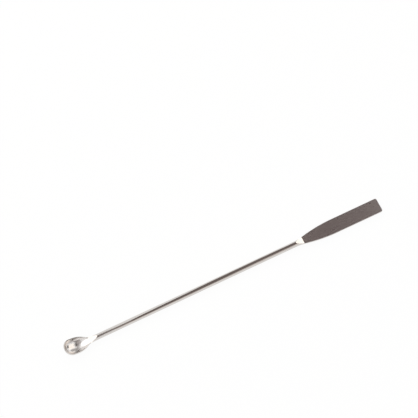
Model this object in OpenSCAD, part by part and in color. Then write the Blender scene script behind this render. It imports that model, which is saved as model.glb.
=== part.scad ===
// Laboratory micro spatula, turned and pressed from one stainless rod:
// a teardrop spoon at one end, a flat square-ended blade at the other.
// X runs along the rod from the spoon tip (-X) to the blade tip (+X), Z is up,
// and the origin is under the middle of the length, on the surface it lies on.

/* [Overall] */
// Length from the spoon tip to the blade tip
overall_l = 180; // [120:1:260]

/* [Rod] */
// Diameter of the round rod
rod_d = 3; // [2.4:0.1:3.6]

/* [Spoon] */
// Outer width of the bowl, which is also the diameter of its round end
bowl_w = 9; // [8:0.1:10]
// Length from the spoon tip to the neck, where the flanks meet the rod
bowl_l = 16.2; // [15:0.1:20]
// Length of the straight middle, between the round end and the flanks
middle_l = 1.4; // [0.5:0.1:2.5]
// Height of the bowl's centre above the rod's axis
bowl_rise = 2.8; // [2.2:0.1:3.2]
// Radius of the inward curve between a flank and the rod
neck_r = 7; // [5:0.5:10]
// Height of the rim above the rod's axis, at the bowl's centre
rim_rise = 2.3; // [1.8:0.1:2.8]
// Width of the flat rim round the hollow
rim_t = 0.4; // [0.3:0.05:0.7]
// Wall under the deepest point of the hollow
bowl_wall = 0.8; // [0.5:0.05:1.2]

/* [Ramp behind the spoon] */
// Distance from the spoon tip to the foot of the ramp, where the rim begins
foot_l = 14.2; // [13:0.1:15]
// Height of the ramp's foot above the rod's axis
foot_rise = 0.6; // [0.2:0.05:0.8]
// Length of the ramp, from its foot up to the top of the rod
spoon_ramp_l = 4.3; // [3:0.1:7]
// Slope of the hollow's floor from the foot down into the bowl, in degrees
floor_fall = 20; // [14:1:26]

/* [Blade] */
// Length of the flat blade, from the crease to its tip
blade_l = 44; // [30:0.5:60]
// Width of the blade
blade_w = 7.9; // [6:0.1:10]
// Thickness of the blade
blade_t = 0.8; // [0.5:0.05:1.2]
// Length of the shoulder, over which the blade widens past the crease
shoulder_l = 18; // [10:0.5:26]
// Length of the ramp between the rod and the crease
blade_ramp_l = 4; // [3:0.1:8]
// Radius of the two corners of the blade's tip
corner_r = 0.9; // [0.3:0.1:2]

/* [Hidden] */
$fn = 96;

rod_r = rod_d / 2;
bowl_r = bowl_w / 2;
beyond = rod_d + bowl_w;  // how far the cutting shapes stand clear of the part
steel = [0.79, 0.78, 0.76];

// Stations along the rod, measured from the spoon tip
bowl_x = bowl_r;
crease_x = overall_l - blade_l;
ramp_x = crease_x - blade_ramp_l;

// ---- Outline of the spoon, as [distance from the bowl's centre, half width] ----
// The round end, a straight middle, a long curved flank, and the inward curve at the neck.
bowl_tilt = atan(bowl_rise / (bowl_l - bowl_x));
neck_s = (bowl_l - bowl_x) / cos(bowl_tilt);
neck_w = rod_r - rod_d / 75;  // a hair inside the rod, so that the flanks grow out of it
drop = bowl_r - neck_w;
run = neck_s - middle_l;
arcs_r = (drop * drop + run * run) / (2 * drop);
flank_r = arcs_r - neck_r;
turn = asin(run / arcs_r);

function end_arc(r, steps = 18) =
    [for (i = [0 : steps - 1]) let (a = 90 * i / steps) [-r * cos(a), r * sin(a)]];
flank = [for (i = [0 : 10]) let (a = turn * i / 10)
    [middle_l + flank_r * sin(a), flank_r * cos(a) - flank_r + bowl_r]];
neck = [for (i = [7 : -1 : 0]) let (a = turn * i / 8)
    [neck_s - neck_r * sin(a), neck_w + neck_r - neck_r * cos(a)]];

// ---- Rim plane, through the ramp's foot and over the bowl's centre ----
rim_tilt = atan((rim_rise - foot_rise) / (foot_l - bowl_x));
rim_normal = [sin(rim_tilt), cos(rim_tilt)];
centre_over_rim = (bowl_x - foot_l) * rim_normal[0] + (bowl_rise - foot_rise) * rim_normal[1];

// ---- Hollow: its axis lies parallel to the rim, as high as leaves the wall under it ----
hollow_d = bowl_r - centre_over_rim - bowl_wall;
hollow_r = sqrt(bowl_r * bowl_r - centre_over_rim * centre_over_rim) - rim_t;
hollow_lift = (hollow_r * hollow_r - hollow_d * hollow_d) / (2 * hollow_d);
hollow_ball = hollow_lift + hollow_d;
hollow_x = bowl_x + (hollow_lift - centre_over_rim) * rim_normal[0];
hollow_z = bowl_rise + (hollow_lift - centre_over_rim) * rim_normal[1];
function inset(p) = [p[0], sqrt(pow(p[1] - bowl_r + hollow_r, 2) + pow(hollow_lift, 2))];

// ---- Outline of rod and blade, as [station, half width] ----
blade_r = blade_w / 2;
swell = (blade_r - rod_r) / (blade_ramp_l + shoulder_l);
function swell_out(t) = rod_r + swell * blade_ramp_l * t * t;
function swell_in(t) = blade_r - swell * shoulder_l * (1 - t) * (1 - t);
corner = [for (i = [0 : 6]) let (a = 15 * i)
    [overall_l - corner_r + corner_r * sin(a), blade_r - corner_r + corner_r * cos(a)]];
rod_start = bowl_x + middle_l + 1.2 * rod_d;  // inside the bowl's body
rod_outline = concat(
    [[rod_start, 0], [rod_start, rod_r]],
    [for (i = [0 : 6]) [ramp_x + blade_ramp_l * i / 6, swell_out(i / 6)]],
    [for (i = [1 : 14]) [crease_x + shoulder_l * i / 14, swell_in(i / 14)]],
    corner,
    [[overall_l, 0]]);

// ---- Height of the rod's axis over the surface: the belly or the rod touches it ----
belly = concat(end_arc(bowl_r), flank, neck);
belly_low = min([for (p = belly) bowl_rise - p[0] * sin(bowl_tilt) - p[1] * cos(bowl_tilt)]);
axis_z = max(rod_r, -belly_low);

// A solid turned about the X axis from points [station, radius]
module turned(points) {
    rotate([0, 90, 0])
        rotate_extrude()
            polygon([for (p = points) [p[1], p[0]]]);
}

// A side view, as [station, height], drawn through the whole width
module through(points) {
    rotate([90, 0, 0])
        linear_extrude(height = 2 * beyond, center = true)
            polygon(points);
}

// Round rod whose far end is pressed flat: turned outline, cut to the blade's side view
module rod_and_blade() {
    slope = (rod_r - blade_t / 2) / blade_ramp_l;
    lead = beyond / slope;
    flat = blade_t / 2;
    intersection() {
        turned(rod_outline);
        through([
            [-beyond, beyond + flat], [crease_x - lead, beyond + flat], [crease_x, flat],
            [overall_l + beyond, flat], [overall_l + beyond, -flat],
            [crease_x, -flat], [crease_x - lead, -beyond - flat], [-beyond, -beyond - flat]]);
    }
}

// Outside of the bowl, a teardrop turned about its own tilted axis
module bowl_body() {
    translate([bowl_x, 0, bowl_rise])
        rotate([0, bowl_tilt, 0])
            turned(concat(end_arc(bowl_r), [[0, bowl_r]], flank, neck, [[neck_s, 0]]));
}

// Everything above a sloping plane through the foot of the ramp
module over_plane(slope) {
    reach = bowl_l + beyond;
    through([
        [foot_l - reach, foot_rise - reach * slope],
        [foot_l + reach, foot_rise + reach * slope],
        [foot_l + reach, foot_rise + reach],
        [foot_l - reach, foot_rise + reach]]);
}

// Pressed hollow, one rim width inside the outline, with a flat floor that falls away from the ramp
module bowl_hollow() {
    intersection() {
        translate([hollow_x, 0, hollow_z])
            rotate([0, rim_tilt, 0])
                turned(concat(
                    end_arc(hollow_ball),
                    [inset([0, bowl_r])],
                    [for (p = flank) inset(p)],
                    [for (p = neck) inset(p)],
                    [[neck_s, 0]]));
        over_plane(tan(floor_fall));
    }
}

// The rod with the bowl's body on it, cut off at the ramp and the rim
module blank() {
    difference() {
        union() {
            rod_and_blade();
            bowl_body();
        }
        intersection() {
            over_plane((rod_r - foot_rise) / spoon_ramp_l);
            over_plane(-tan(rim_tilt));
        }
    }
}

module spatula() {
    color(steel)
        translate([-overall_l / 2, 0, axis_z])
            difference() {
                blank();
                bowl_hollow();
            }
}

spatula();
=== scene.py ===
"""Laboratory micro spatula: one polished stainless rod with a teardrop spoon and a flat blade.

The bar is modelled in millimetres, as it is drawn in a workshop, and brought to
metres at the end. X runs from the spoon tip (-X) to the blade tip (+X), Z is up.
"""

from __future__ import annotations

import logging
import math
from dataclasses import dataclass, field
from enum import Enum
from typing import Sequence

import bpy
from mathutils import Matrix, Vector

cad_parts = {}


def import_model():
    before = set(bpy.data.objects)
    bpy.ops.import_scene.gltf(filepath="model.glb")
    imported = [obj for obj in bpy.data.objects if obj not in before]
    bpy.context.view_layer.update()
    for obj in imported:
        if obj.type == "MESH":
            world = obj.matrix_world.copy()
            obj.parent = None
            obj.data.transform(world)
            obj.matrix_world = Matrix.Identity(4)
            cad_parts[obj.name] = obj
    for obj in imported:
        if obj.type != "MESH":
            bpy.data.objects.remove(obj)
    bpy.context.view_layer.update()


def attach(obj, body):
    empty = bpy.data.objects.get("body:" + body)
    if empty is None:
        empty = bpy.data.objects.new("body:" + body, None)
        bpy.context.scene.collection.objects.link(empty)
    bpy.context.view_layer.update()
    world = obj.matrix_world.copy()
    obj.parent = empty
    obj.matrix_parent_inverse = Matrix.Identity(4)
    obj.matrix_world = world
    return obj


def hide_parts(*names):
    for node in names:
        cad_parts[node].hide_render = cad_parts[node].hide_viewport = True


log = logging.getLogger("spatula")

MM = 0.001
FAR = 60.0  # half the side of a cutting block, in millimetres
FULL_TURN = 2 * math.pi
WHITE = "#ffffff"
SEED_SIZE = 0.1  # side of the plane that a turned outline starts from, in millimetres
SAME_POINT = 1e-4  # points of a turned solid closer than this are one, in millimetres
JOINT_POINT = 2e-3  # the same for points along the cuts of the finished bar
THIN_FACE = 1e-3  # edges and faces of the finished bar smaller than this are dissolved
LEVEL = 0.999  # least upright share of a level face's normal

Point = tuple[float, float]


class Slot(Enum):
    """Places of the finishes in the bar's material slots."""

    POLISHED = 0
    TUMBLED_PAINTED_LIGHT = 1
    GROUND = 2


class Join(Enum):
    """What a boolean modifier does with its second solid."""

    ADD = "UNION"
    CUT = "DIFFERENCE"


class Seen(Enum):
    """Kinds of light ray that see a studio piece."""

    CAMERA = "visible_camera"
    DIFFUSE = "visible_diffuse"
    GLOSSY = "visible_glossy"
    TRANSMISSION = "visible_transmission"
    SCATTER = "visible_volume_scatter"
    SHADOW = "visible_shadow"


# ---------------------------------------------------------------- colour and nodes


def linear(hex_colour: str) -> tuple[float, float, float, float]:
    """Turns an sRGB hex value into the linear colour that a shader takes.

    Args:
        hex_colour: The colour as "#rrggbb".

    Returns:
        Red, green and blue in linear light, with an alpha of 1.
    """
    channels = [int(hex_colour[i : i + 2], 16) / 255 for i in (1, 3, 5)]
    red, green, blue = (
        c / 12.92 if c <= 0.04045 else ((c + 0.055) / 1.055) ** 2.4 for c in channels
    )
    return red, green, blue, 1.0


def add_node(
    tree: bpy.types.NodeTree,
    kind: str,
    settings: dict | None = None,
    inputs: dict | None = None,
) -> bpy.types.Node:
    """Adds one shader node with its settings, values and links.

    Args:
        tree: The node tree of a material, a world or a lamp.
        kind: The node's type name.
        settings: Attributes to set on the node.
        inputs: Values for its inputs, by name or number. An output socket given
            as a value is linked.

    Returns:
        The new node.
    """
    node = tree.nodes.new(kind)
    for name, value in (settings or {}).items():
        setattr(node, name, value)
    for key, value in (inputs or {}).items():
        socket = node.inputs[key]
        if isinstance(value, bpy.types.NodeSocket):
            tree.links.new(value, socket)
        else:
            socket.default_value = value
    return node


def colour_ramp(node: bpy.types.Node, stops: Sequence[tuple[float, str]]) -> None:
    """Gives a Color Ramp node its stops.

    Args:
        node: The Color Ramp node.
        stops: Pairs of position and sRGB hex colour, in rising order.
    """
    elements = node.color_ramp.elements
    while len(elements) > len(stops):
        elements.remove(elements[-1])
    while len(elements) < len(stops):
        elements.new(1.0)
    for element, (position, colour) in zip(elements, stops):
        element.position = position
        element.color = linear(colour)


# ---------------------------------------------------------------- modelling tools


def deselect_all() -> None:
    """Deselects every object, in object mode."""
    bpy.ops.object.select_all(action="DESELECT")


def edit(obj: bpy.types.Object) -> None:
    """Opens one object in edit mode with all of its mesh selected."""
    deselect_all()
    bpy.context.view_layer.objects.active = obj
    obj.select_set(True)
    bpy.ops.object.mode_set(mode="EDIT")
    bpy.ops.mesh.select_mode(type="VERT")
    bpy.ops.mesh.select_all(action="SELECT")


def leave_edit() -> bpy.types.Object:
    """Closes edit mode and gives the object that was open."""
    bpy.ops.object.mode_set(mode="OBJECT")
    return bpy.context.object


def turned(
    name: str, points: Sequence[Point], centre: Vector, tilt: float, steps: int
) -> bpy.types.Object:
    """Turns a closed solid on an axis that lies in the bar's middle plane.

    Args:
        name: Name for the new object.
        points: Outline as (distance along the axis, radius), from pole to pole.
        centre: Where the distance along the axis is nought.
        tilt: How far the axis dips towards +X, in radians.
        steps: Number of facets round the axis.

    Returns:
        The solid, with its normals outwards.
    """
    along = Vector((math.cos(tilt), 0.0, -math.sin(tilt)))
    up = Vector((math.sin(tilt), 0.0, math.cos(tilt)))
    path = [centre + along * s + up * r for s, r in points]
    deselect_all()
    bpy.ops.mesh.primitive_plane_add(size=SEED_SIZE, location=path[0])
    obj = bpy.context.object
    obj.name = obj.data.name = name
    bpy.ops.object.transform_apply(location=True, rotation=True, scale=True)
    edit(obj)
    bpy.ops.mesh.merge(type="CENTER")
    for here, there in zip(path, path[1:]):
        bpy.ops.mesh.extrude_region_move(
            TRANSFORM_OT_translate={"value": tuple(there - here)}
        )
    bpy.ops.mesh.select_all(action="SELECT")
    bpy.ops.mesh.spin(
        steps=steps, dupli=False, angle=FULL_TURN, center=tuple(centre), axis=tuple(along)
    )
    bpy.ops.mesh.select_all(action="SELECT")
    bpy.ops.mesh.remove_doubles(threshold=SAME_POINT)
    bpy.ops.mesh.normals_make_consistent(inside=False)
    return leave_edit()


def keep_front(obj: bpy.types.Object, point: Vector, normal: Vector) -> None:
    """Cuts a solid by a plane and keeps what lies on the normal's side.

    Args:
        obj: The solid.
        point: A point of the plane.
        normal: The plane's normal.
    """
    edit(obj)
    bpy.ops.mesh.bisect(
        plane_co=tuple(point), plane_no=tuple(normal), use_fill=True, clear_inner=True
    )
    leave_edit()


def block(
    name: str, middle: Vector, planes: Sequence[tuple[Vector, Vector]]
) -> bpy.types.Object:
    """Makes a cutting block: a large cube, pared down by planes.

    Args:
        name: Name for the new object.
        middle: Centre of the cube.
        planes: Pairs of a point and a normal; the block keeps each normal's side.

    Returns:
        The block.
    """
    deselect_all()
    bpy.ops.mesh.primitive_cube_add(size=2 * FAR, location=middle)
    obj = bpy.context.object
    obj.name = obj.data.name = name
    bpy.ops.object.transform_apply(location=True, rotation=True, scale=True)
    for point, normal in planes:
        keep_front(obj, point, normal)
    edit(obj)
    bpy.ops.mesh.normals_make_consistent(inside=False)
    return leave_edit()


def combine(obj: bpy.types.Object, other: bpy.types.Object, join: Join) -> None:
    """Adds or cuts a second solid with an applied boolean modifier, and deletes it.

    Args:
        obj: The solid that is kept.
        other: The solid that is added or cut away.
        join: Whether it is added or cut away.
    """
    modifier = obj.modifiers.new(other.name, "BOOLEAN")
    modifier.operation = join.value
    modifier.solver = "EXACT"
    modifier.material_mode = "TRANSFER"
    modifier.object = other
    deselect_all()
    bpy.context.view_layer.objects.active = obj
    obj.select_set(True)
    bpy.ops.object.modifier_apply(modifier=modifier.name)
    bpy.data.objects.remove(other)


# ---------------------------------------------------------------- finishes


@dataclass(frozen=True)
class WorkedStainless:
    """304 stainless with fine lines along the bar, over faint cloudy patches.

    The lines and patches together set the tone and the roughness, and the
    lines alone set the relief.
    """

    name: str
    bright: str
    dull: str
    smoothest: float
    roughest: float
    line_pitch: float
    line_length: float
    line_depth: float
    line_detail: float
    line_share: float
    patch: float
    patch_detail: float
    patch_roughness: float
    patch_share: float
    dull_below: float
    bright_above: float
    smooth_above: float

    def make(self) -> bpy.types.Material:
        """Builds the material.

        Returns:
            The material, on object coordinates.
        """
        material = bpy.data.materials.new(self.name)
        material.use_nodes = True
        tree = material.node_tree
        tree.nodes.clear()
        place = add_node(tree, "ShaderNodeTexCoord").outputs["Object"]
        across = 1 / self.line_pitch
        stretched = add_node(
            tree,
            "ShaderNodeMapping",
            inputs={"Vector": place, "Scale": (1 / self.line_length, across, across)},
        )
        lines = add_node(
            tree,
            "ShaderNodeTexNoise",
            inputs={"Vector": stretched.outputs[0], "Scale": 1.0, "Detail": self.line_detail},
        )
        patches = add_node(
            tree,
            "ShaderNodeTexNoise",
            inputs={
                "Vector": place,
                "Scale": 1 / self.patch,
                "Detail": self.patch_detail,
                "Roughness": self.patch_roughness,
            },
        )
        tone = add_node(
            tree,
            "ShaderNodeMath",
            {"operation": "MULTIPLY_ADD"},
            {0: patches.outputs["Fac"], 1: self.patch_share, 2: 0.0},
        )
        mixed = add_node(
            tree,
            "ShaderNodeMath",
            {"operation": "MULTIPLY_ADD"},
            {0: lines.outputs["Fac"], 1: self.line_share, 2: tone.outputs[0]},
        )
        colour = add_node(tree, "ShaderNodeValToRGB", inputs={"Fac": mixed.outputs[0]})
        colour_ramp(colour, [(self.dull_below, self.dull), (self.bright_above, self.bright)])
        rough = add_node(
            tree,
            "ShaderNodeMapRange",
            inputs={
                "Value": mixed.outputs[0],
                "From Min": self.dull_below,
                "From Max": self.smooth_above,
                "To Min": self.roughest,
                "To Max": self.smoothest,
            },
        )
        bump = add_node(
            tree,
            "ShaderNodeBump",
            inputs={"Height": lines.outputs["Fac"], "Strength": 1.0, "Distance": self.line_depth},
        )
        shader = add_node(
            tree,
            "ShaderNodeBsdfPrincipled",
            inputs={
                "Base Color": colour.outputs["Color"],
                "Metallic": 1.0,
                "Roughness": rough.outputs["Result"],
                "Normal": bump.outputs["Normal"],
            },
        )
        add_node(tree, "ShaderNodeOutputMaterial", inputs={"Surface": shader.outputs[0]})
        return material


@dataclass(frozen=True)
class PolishedStainless(WorkedStainless):
    """Drawn 304 stainless rod, buffed bright.

    The eye sees a slightly warm mirror, softened by drawing lines that run the
    length of the bar and by faint cloudy patches left by the buffing mop.
    """

    name: str = "polished_drawn_stainless"
    bright: str = "#d9d5d1"
    dull: str = "#cec9c5"
    smoothest: float = 0.07
    roughest: float = 0.17
    line_pitch: float = 0.18 * MM  # drawing lines are finer, drawn coarse enough to show
    line_length: float = 14 * MM
    line_depth: float = 0.0015 * MM
    line_detail: float = 3.0
    line_share: float = 0.4
    patch: float = 4 * MM
    patch_detail: float = 4.0
    patch_roughness: float = 0.6
    patch_share: float = 0.6
    dull_below: float = 0.3
    bright_above: float = 0.62
    smooth_above: float = 0.7


@dataclass(frozen=True)
class TumbledStainlessPaintedLight(PolishedStainless):
    """Inside of the pressed bowl, which the mop doesn't reach and the tumbler blurs.

    The eye sees the same warm metal with softer edges to what it mirrors. Its
    tone is a little lighter than the rod's: painted light that brightens the hollow's
    reflections.
    """

    name: str = "tumbled_stainless_painted_light"
    # painted light: this lighter tone brightens the reflections inside the hollow
    bright: str = "#e9e6e4"
    dull: str = "#dddad8"
    smoothest: float = 0.18
    roughest: float = 0.26
    line_pitch: float = 0.35 * MM
    line_length: float = 2.5 * MM
    line_depth: float = 0.002 * MM
    patch: float = 2.5 * MM


@dataclass(frozen=True)
class GroundStainless(WorkedStainless):
    """The blade's two faces, ground flat along their length and left satin.

    The eye sees an even grey sheen with short fine scratches and a faint
    mottle, without the sharp reflections of the polished rod.
    """

    name: str = "ground_satin_stainless"
    bright: str = "#d4cdcc"
    dull: str = "#c8c0be"
    smoothest: float = 0.26
    roughest: float = 0.34
    line_pitch: float = 0.22 * MM  # 240 grit is finer, drawn coarse enough to show
    line_length: float = 6 * MM
    line_depth: float = 0.0016 * MM
    line_detail: float = 4.0
    line_share: float = 0.5
    patch: float = 2.2 * MM
    patch_detail: float = 5.0
    patch_roughness: float = 0.65
    patch_share: float = 0.5
    dull_below: float = 0.35
    bright_above: float = 0.65
    smooth_above: float = 0.65


# ---------------------------------------------------------------- the bar


@dataclass
class RodAndBlade:
    """Round rod whose far end is pressed flat and ground to a square-ended blade.

    Stations are measured from the spoon tip, and heights from the rod's axis.
    """

    overall_l: float = 180.0
    rod_d: float = 3.0
    blade_l: float = 44.0
    blade_w: float = 7.9
    blade_t: float = 0.8
    shoulder_l: float = 18.0
    ramp_l: float = 4.0
    corner_r: float = 0.9
    start: float = 9.5  # inside the bowl's body
    steps: int = 144
    ramp_parts: int = 12
    shoulder_parts: int = 28
    corner_parts: int = 12

    @property
    def rod_r(self) -> float:
        """Radius of the rod."""
        return self.rod_d / 2

    @property
    def crease(self) -> float:
        """Station of the crease between the ramp and the blade's face."""
        return self.overall_l - self.blade_l

    def outline(self) -> list[Point]:
        """Works out half the outline of rod and blade seen from above.

        Returns:
            Points as (station, half width), from axis to axis.
        """
        blade_r = self.blade_w / 2
        swell = (blade_r - self.rod_r) / (self.ramp_l + self.shoulder_l)
        points = [(self.start, 0.0), (self.start, self.rod_r)]
        for i in range(self.ramp_parts + 1):
            t = i / self.ramp_parts
            width = self.rod_r + swell * self.ramp_l * t * t
            points.append((self.crease - self.ramp_l * (1 - t), width))
        for i in range(1, self.shoulder_parts + 1):
            t = i / self.shoulder_parts
            width = blade_r - swell * self.shoulder_l * (1 - t) ** 2
            points.append((self.crease + self.shoulder_l * t, width))
        for i in range(self.corner_parts + 1):
            a = math.radians(90 * i / self.corner_parts)
            points.append(
                (
                    self.overall_l - self.corner_r * (1 - math.sin(a)),
                    blade_r - self.corner_r * (1 - math.cos(a)),
                )
            )
        points.append((self.overall_l, 0.0))
        return points

    def build(self) -> bpy.types.Object:
        """Turns the outline and cuts it to the blade's side view.

        Returns:
            The rod and blade, in millimetres along the rod's axis.
        """
        bar = turned("bar", self.outline(), Vector(), 0.0, self.steps)
        flat = self.blade_t / 2
        slope = (self.rod_r - flat) / self.ramp_l
        for side in (1, -1):
            fold = Vector((self.crease, 0.0, side * flat))
            waste = block(
                "blade_waste",
                Vector((self.crease, 0.0, side * FAR)),
                [(fold, Vector((0.0, 0.0, side))), (fold, Vector((slope, 0.0, side)))],
            )
            combine(bar, waste, Join.CUT)
        return bar


@dataclass
class Spoon:
    """Teardrop bowl pressed at the rod's end, with the ramp that leads into it.

    Stations are measured from the spoon tip, and heights from the rod's axis.
    """

    rod: RodAndBlade
    bowl_w: float = 9.0
    bowl_l: float = 16.2
    middle_l: float = 1.4
    bowl_rise: float = 2.8
    neck_r: float = 7.0
    rim_rise: float = 2.3
    rim_t: float = 0.4
    bowl_wall: float = 0.8
    foot_l: float = 14.2
    foot_rise: float = 0.6
    ramp_l: float = 4.3
    floor_fall: float = math.radians(20)
    steps: int = 192
    end_parts: int = 40
    flank_parts: int = 24
    neck_parts: int = 16
    mouth_lift: float = 0.9  # how high the mouth's block is centred, as a share of its half side
    neck_shares: int = 75  # the neck ends 1/75 of the rod's diameter inside the rod

    def __post_init__(self) -> None:
        """Works out the arcs, the rim plane and the ball that the hollow is cut by."""
        self.bowl_r = self.bowl_w / 2
        self.bowl_x = self.bowl_r
        self.tilt = math.atan(self.bowl_rise / (self.bowl_l - self.bowl_x))
        self.neck_s = (self.bowl_l - self.bowl_x) / math.cos(self.tilt)
        self.neck_w = self.rod.rod_r - self.rod.rod_d / self.neck_shares
        drop = self.bowl_r - self.neck_w
        run = self.neck_s - self.middle_l
        arcs_r = (drop * drop + run * run) / (2 * drop)
        self.flank_r = arcs_r - self.neck_r
        self.turn = math.asin(run / arcs_r)
        self.rim_tilt = math.atan((self.rim_rise - self.foot_rise) / (self.foot_l - self.bowl_x))
        normal = self.rim_normal
        back = self.bowl_x - self.foot_l
        over = back * normal.x + (self.bowl_rise - self.foot_rise) * normal.z
        depth = self.bowl_r - over - self.bowl_wall
        radius = math.sqrt(self.bowl_r**2 - over**2) - self.rim_t
        self.inset = self.bowl_r - radius
        self.lift = (radius**2 - depth**2) / (2 * depth)
        self.ball = self.lift + depth
        self.hollow_centre = self.bowl_centre + (self.lift - over) * normal

    @property
    def rim_normal(self) -> Vector:
        """Upward normal of the rim plane."""
        return Vector((math.sin(self.rim_tilt), 0.0, math.cos(self.rim_tilt)))

    @property
    def bowl_centre(self) -> Vector:
        """Centre of the bowl's round end."""
        return Vector((self.bowl_x, 0.0, self.bowl_rise))

    @property
    def foot(self) -> Vector:
        """Foot of the ramp, where the rim begins."""
        return Vector((self.foot_l, 0.0, self.foot_rise))

    def round_end(self, ball: float) -> list[Point]:
        """Works out half the outline of the bowl's round end.

        Args:
            ball: Radius of the round end.

        Returns:
            Points as (distance from the bowl's centre, half width), from the
            pole to the widest place.
        """
        ends = [math.radians(90 * i / self.end_parts) for i in range(self.end_parts)]
        points = [(-ball * math.cos(a), ball * math.sin(a)) for a in ends]
        points.append((0.0, ball))
        return points

    def flanks(self) -> list[Point]:
        """Works out the flank and the inward curve at the neck.

        Returns:
            Points as (distance from the bowl's centre, half width).
        """
        points = []
        for i in range(self.flank_parts + 1):
            a = self.turn * i / self.flank_parts
            width = self.flank_r * math.cos(a) - self.flank_r + self.bowl_r
            points.append((self.middle_l + self.flank_r * math.sin(a), width))
        for i in range(self.neck_parts - 1, -1, -1):
            a = self.turn * i / self.neck_parts
            width = self.neck_w + self.neck_r * (1 - math.cos(a))
            points.append((self.neck_s - self.neck_r * math.sin(a), width))
        return points

    def body(self) -> bpy.types.Object:
        """Turns the outside of the bowl.

        Returns:
            The teardrop, about its own tilted axis.
        """
        points = self.round_end(self.bowl_r) + self.flanks() + [(self.neck_s, 0.0)]
        return turned("bowl", points, self.bowl_centre, self.tilt, self.steps)

    def mouth(self) -> bpy.types.Object:
        """Makes the block that the ramp and the rim are cut by.

        Returns:
            The block above both planes.
        """
        slope = (self.rod.rod_r - self.foot_rise) / self.ramp_l
        planes = [(self.foot, Vector((-slope, 0.0, 1.0))), (self.foot, self.rim_normal)]
        return block("mouth", self.foot + Vector((0.0, 0.0, FAR * self.mouth_lift)), planes)

    def hollow(self) -> bpy.types.Object:
        """Makes the hollow, one rim width inside the outline, with its flat floor.

        Returns:
            The solid that is cut away.
        """
        inside = [(s, math.hypot(r - self.inset, self.lift)) for s, r in self.flanks()]
        points = self.round_end(self.ball) + inside + [(self.neck_s, 0.0)]
        solid = turned("hollow", points, self.hollow_centre, self.rim_tilt, self.steps)
        floor = Vector((-math.sin(self.floor_fall), 0.0, math.cos(self.floor_fall)))
        keep_front(solid, self.foot, floor)
        return solid


@dataclass
class Spatula:
    """The whole bar: rod and blade, spoon, and their three finishes."""

    rod: RodAndBlade = field(default_factory=RodAndBlade)
    smooth_below: float = math.radians(8)

    def __post_init__(self) -> None:
        """Sets the spoon on the rod."""
        self.spoon = Spoon(self.rod)

    def axis_height(self) -> float:
        """Works out how high the rod's axis lies when the bar rests on its belly.

        Returns:
            The height in millimetres.
        """
        spoon = self.spoon
        dips = [
            s * math.sin(spoon.tilt) + w * math.cos(spoon.tilt) - spoon.bowl_rise
            for s, w in spoon.round_end(spoon.bowl_r) + spoon.flanks()
        ]
        return max([self.rod.rod_r, *dips])

    def build(self) -> bpy.types.Object:
        """Models the bar and brings it to metres at its place in the frame.

        Returns:
            The finished piece.
        """
        bar = self.rod.build()
        combine(bar, self.spoon.body(), Join.ADD)
        combine(bar, self.spoon.mouth(), Join.CUT)
        bar.data.materials.clear()
        bar.data.materials.append(PolishedStainless().make())
        hollow = self.spoon.hollow()
        # the hollow gets the lighter steel, painted light inside the bowl
        hollow.data.materials.append(TumbledStainlessPaintedLight().make())
        combine(bar, hollow, Join.CUT)
        edit(bar)
        bpy.ops.mesh.remove_doubles(threshold=JOINT_POINT)
        bpy.ops.mesh.dissolve_degenerate(threshold=THIN_FACE)
        leave_edit()
        self.finish_faces(bar)
        bar.location = (-self.rod.overall_l / 2 * MM, 0.0, self.axis_height() * MM)
        bar.scale = (MM, MM, MM)
        deselect_all()
        bar.select_set(True)
        bpy.context.view_layer.objects.active = bar
        bpy.ops.object.transform_apply(location=True, rotation=True, scale=True)
        bpy.ops.object.shade_smooth_by_angle(angle=self.smooth_below, keep_sharp_edges=False)
        bar.name = bar.data.name = "spatula_bar"
        return bar

    def finish_faces(self, bar: bpy.types.Object) -> None:
        """Gives the blade's two faces the ground finish.

        Args:
            bar: The bar, in millimetres.
        """
        bar.data.materials.append(GroundStainless().make())
        for face in bar.data.polygons:
            if face.center.x > self.rod.crease and abs(face.normal.z) > LEVEL:
                face.material_index = Slot.GROUND.value


# ---------------------------------------------------------------- the studio


@dataclass(frozen=True)
class Card:
    """A plain glowing card that only reflections see: corners in millimetres, in order."""

    name: str
    corners: tuple[tuple[float, float, float], ...]
    tone: str
    strength: float = 1.0


SOFT_BOX_Z = 210.0  # height of the level soft boxes, in millimetres
CARD_Z = 200.0  # height of the level cards, in millimetres

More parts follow.
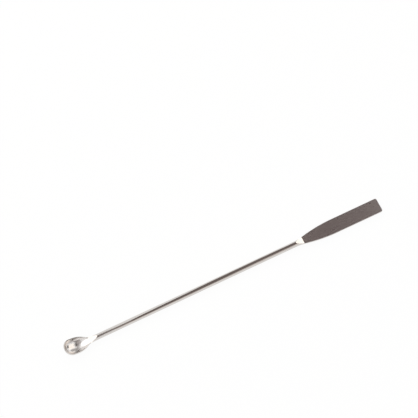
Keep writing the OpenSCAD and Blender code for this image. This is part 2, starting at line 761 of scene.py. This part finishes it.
# Where two overlap, the lower one hides the upper one from the steel.
CARDS = (
    Card(
        "soft_box_front",
        (
            (-250, 52, SOFT_BOX_Z),
            (-112, 52, SOFT_BOX_Z),
            (-112, 125, SOFT_BOX_Z),
            (-250, 140, SOFT_BOX_Z),
        ),
        "#fffdfa",
        1.8,
    ),
    Card(
        "soft_box_left",
        (
            (-900, 140, SOFT_BOX_Z),
            (-250, 140, SOFT_BOX_Z),
            (-250, 1600, SOFT_BOX_Z),
            (-900, 1600, SOFT_BOX_Z),
        ),
        "#fffdfa",
        1.8,
    ),
    Card(
        "soft_box_back",
        (
            (-110, 110, SOFT_BOX_Z),
            (-80, 110, SOFT_BOX_Z),
            (-80, 700, SOFT_BOX_Z),
            (-110, 700, SOFT_BOX_Z),
        ),
        "#fffdfa",
        1.5,
    ),
    Card(
        "soft_box_middle",
        (
            (14, -281, SOFT_BOX_Z),
            (150, -281, SOFT_BOX_Z),
            (200, 53, SOFT_BOX_Z),
            (0, 53, SOFT_BOX_Z),
        ),
        "#fff7ee",
        1.45,
    ),
    Card(
        "soft_box_side",
        (
            (195, 65, SOFT_BOX_Z),
            (285, 65, SOFT_BOX_Z),
            (285, 155, SOFT_BOX_Z),
            (195, 155, SOFT_BOX_Z),
        ),
        "#fffcf7",
        1.8,
    ),
    Card(
        "dark_card_spoon",
        ((-66, -800, CARD_Z), (-24, -800, CARD_Z), (-24, 17, CARD_Z), (-66, 17, CARD_Z)),
        "#332f2d",
    ),
    Card(
        "grey_card_far",
        (
            (-84, 22, CARD_Z),
            (-66, 17, CARD_Z),
            (-30, 17, CARD_Z),
            (-30, 120, CARD_Z),
            (-60, 120, CARD_Z),
        ),
        "#9a9391",
    ),
    Card(
        "grey_card_near",
        (
            (-200, -800, CARD_Z),
            (-66, -800, CARD_Z),
            (-66, 17, CARD_Z),
            (-82, 17, CARD_Z),
            (-135, -92, CARD_Z),
            (-185, -355, CARD_Z),
        ),
        "#b5aeab",
    ),
    Card(
        "dark_card_blade",
        (
            (30, -60, 67.2),
            (175, -60, 146.2),
            (175, 45, 146.2),
            (150, 60, 132.6),
            (150, 140, 132.6),
            (30, 140, 67.2),
        ),
        "#574c4c",
    ),
    Card(
        "dark_card_rod",
        (
            (-50, -14, 17.1),
            (10, -38, 42.9),
            (31, -31, 51.9),
            (60, -40, 64.3),
            (60, 80, 64.3),
            (30, 58, 51.4),
            (8, 52, 42),
            (-12, 28, 33.4),
            (-35, 11, 23.6),
            (-50, 2, 17.1),
        ),
        "#766c6a",
    ),
    Card(
        "grey_card_rod_near",
        ((-71, -5, 8.1), (-50, -14, 17.1), (-50, 2, 17.1), (-62, 0, 12), (-71, 0, 8.1)),
        "#8f8684",
    ),
    Card(
        "grey_card_rod_far",
        (
            (60, 80, 64.3),
            (60, 205, 64.3),
            (26, 130, 49.7),
            (-2, 55, 37.7),
            (-12, 28, 33.4),
            (8, 52, 42),
            (30, 58, 51.4),
        ),
        "#a59c99",
    ),
    Card(
        "grey_card_rod",
        (
            (-60, -9.8, 12.86),
            (-53, -33, 15.86),
            (23, -114, 48.43),
            (71, -165, 69),
            (60, -40, 64.3),
            (31, -31, 51.9),
            (10, -38, 42.9),
        ),
        "#d8d0cb",
    ),
    Card(
        "grey_card_bowl",
        ((-80, 8.3, 18), (-70.5, 8.3, 18), (-69.5, 27, 18), (-80, 27, 18)),
        "#a8a39f",
    ),
    Card(
        "dark_card_front",
        ((-100, -60, 4.5), (-67, -60, 4.5), (-67, -60, 33), (-98, -60, 33)),
        "#6a6260",
    ),
    Card(
        "dark_card_side",
        ((160, -60, CARD_Z), (900, -60, CARD_Z), (900, -800, CARD_Z), (175, -250, CARD_Z)),
        "#3c3635",
    ),
)


@dataclass
class Studio:
    """Plain white sweep, one large soft box, and the cards that shade the steel."""

    azimuth: float = math.radians(-27.0)
    elevation: float = math.radians(66.0)
    aim: tuple[float, float, float] = (0.0117, 0.0384, 0.0)
    lens: float = 500.0
    field_width: float = 0.2142
    sensor: float = 36.0
    clip_end: float = 20.0
    sky_light: float = 0.75  # how strongly the white world lights the object
    paper: str = "#fbfbfb"
    floor_side: float = 6.0
    floor_white: float = 0.95  # share of plain white where the floor is seen; the rest is shaded
    lamp_colour: str = "#fff6ea"
    lamp_width: float = 1.4
    lamp_depth: float = 0.8
    lamp_power: float = 4.2
    lamp_place: tuple[float, float, float] = (-0.15, 0.62, 0.75)

    def toward_camera(self) -> Vector:
        """Direction from the object to the camera."""
        flat = math.cos(self.elevation)
        return Vector(
            (
                math.sin(self.azimuth) * flat,
                -math.cos(self.azimuth) * flat,
                math.sin(self.elevation),
            )
        )

    def camera(self) -> None:
        """Sets the camera, which looks down on the object with no roll."""
        data = bpy.data.cameras.new("camera")
        data.lens = self.lens
        data.sensor_width = self.sensor
        data.clip_end = self.clip_end
        camera = bpy.data.objects.new("camera", data)
        bpy.context.scene.collection.objects.link(camera)
        back = self.toward_camera()
        distance = self.field_width / self.sensor * self.lens
        camera.location = Vector(self.aim) + distance * back
        camera.rotation_euler = (-back).to_track_quat("-Z", "Y").to_euler()
        bpy.context.scene.camera = camera

    def shown_white(self, tree: bpy.types.NodeTree) -> bpy.types.NodeSocket:
        """Adds the test for rays that show the background: camera, glossy and transmission.

        Args:
            tree: The node tree.

        Returns:
            A socket that is 1 for such rays.
        """
        path = add_node(tree, "ShaderNodeLightPath")
        either = add_node(
            tree,
            "ShaderNodeMath",
            {"operation": "MAXIMUM"},
            {0: path.outputs["Is Camera Ray"], 1: path.outputs["Is Glossy Ray"]},
        )
        every = add_node(
            tree,
            "ShaderNodeMath",
            {"operation": "MAXIMUM"},
            {0: either.outputs[0], 1: path.outputs["Is Transmission Ray"]},
        )
        return every.outputs[0]

    def world(self) -> None:
        """Surrounds the object with white, and lights it with a plain part of that."""
        world = bpy.data.worlds.new("studio")
        bpy.context.scene.world = world
        world.use_nodes = True
        tree = world.node_tree
        tree.nodes.clear()
        light = add_node(
            tree,
            "ShaderNodeBackground",
            inputs={"Color": linear(WHITE), "Strength": self.sky_light},
        )
        white = add_node(
            tree, "ShaderNodeBackground", inputs={"Color": linear(WHITE), "Strength": 1.0}
        )
        mix = add_node(
            tree,
            "ShaderNodeMixShader",
            inputs={0: self.shown_white(tree), 1: light.outputs[0], 2: white.outputs[0]},
        )
        add_node(tree, "ShaderNodeOutputWorld", inputs={"Surface": mix.outputs[0]})

    def floor(self) -> None:
        """Lays the white floor, which is shown white and keeps the object's shadow."""
        deselect_all()
        bpy.ops.mesh.primitive_plane_add(size=self.floor_side, location=(0, 0, 0))
        floor = bpy.context.object
        floor.name = "floor"
        material = bpy.data.materials.new("white_paper_sweep")
        material.use_nodes = True
        tree = material.node_tree
        tree.nodes.clear()
        paper = add_node(tree, "ShaderNodeBsdfDiffuse", inputs={"Color": linear(self.paper)})
        white = add_node(
            tree, "ShaderNodeEmission", inputs={"Color": linear(WHITE), "Strength": 1.0}
        )
        share = add_node(
            tree,
            "ShaderNodeMath",
            {"operation": "MULTIPLY"},
            {0: self.shown_white(tree), 1: self.floor_white},
        )
        mix = add_node(
            tree,
            "ShaderNodeMixShader",
            inputs={0: share.outputs[0], 1: paper.outputs[0], 2: white.outputs[0]},
        )
        add_node(tree, "ShaderNodeOutputMaterial", inputs={"Surface": mix.outputs[0]})
        floor.data.materials.append(material)

    def soft_box(self) -> None:
        """Hangs one large soft box over the far side of the table."""
        data = bpy.data.lights.new("soft_box", "AREA")
        data.shape = "RECTANGLE"
        data.size = self.lamp_width
        data.size_y = self.lamp_depth
        data.energy = self.lamp_power
        data.color = linear(self.lamp_colour)[:3]
        lamp = bpy.data.objects.new("soft_box", data)
        bpy.context.scene.collection.objects.link(lamp)
        lamp.visible_camera = lamp.visible_glossy = False
        lamp.location = self.lamp_place
        down = Vector((0, 0, 0)) - lamp.location
        lamp.rotation_euler = down.to_track_quat("-Z", "Y").to_euler()

    def hang(self, card: Card) -> None:
        """Hangs one card.

        Args:
            card: The card's name, corners, tone and strength.
        """
        deselect_all()
        count = len(card.corners)
        bpy.ops.mesh.primitive_circle_add(vertices=count, radius=1.0, fill_type="NGON")
        sheet = bpy.context.object
        sheet.name = card.name
        for vertex, corner in zip(sheet.data.vertices, card.corners):
            vertex.co = Vector(corner) * MM
        material = bpy.data.materials.new(card.name)
        material.use_nodes = True
        tree = material.node_tree
        tree.nodes.clear()
        glow = add_node(
            tree,
            "ShaderNodeEmission",
            inputs={"Color": linear(card.tone), "Strength": card.strength},
        )
        add_node(tree, "ShaderNodeOutputMaterial", inputs={"Surface": glow.outputs[0]})
        sheet.data.materials.append(material)
        for kind in Seen:
            setattr(sheet, kind.value, kind is Seen.GLOSSY)

    def cards(self) -> None:
        """Hangs the soft box fronts and the dark cards that draw the steel's bands."""
        for card in CARDS:
            self.hang(card)

    def build(self) -> None:
        """Sets up camera, floor, light and cards."""
        self.camera()
        self.world()
        self.floor()
        self.soft_box()
        self.cards()


def main() -> None:
    """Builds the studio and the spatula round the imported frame."""
    logging.basicConfig(level=logging.INFO, format="%(name)s: %(message)s")
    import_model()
    deselect_all()
    scene = bpy.context.scene
    scene.view_settings.view_transform = "Standard"
    Studio().build()
    bar = Spatula().build()
    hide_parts("spatula")
    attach(bar, "root")
    log.info("%s: %d faces", bar.name, len(bar.data.polygons))
    for place in Slot:
        faces = [f for f in bar.data.polygons if f.material_index == place.value]
        log.info("%s: %d faces", bar.data.materials[place.value].name, len(faces))


if __name__ == "__main__":
    main()
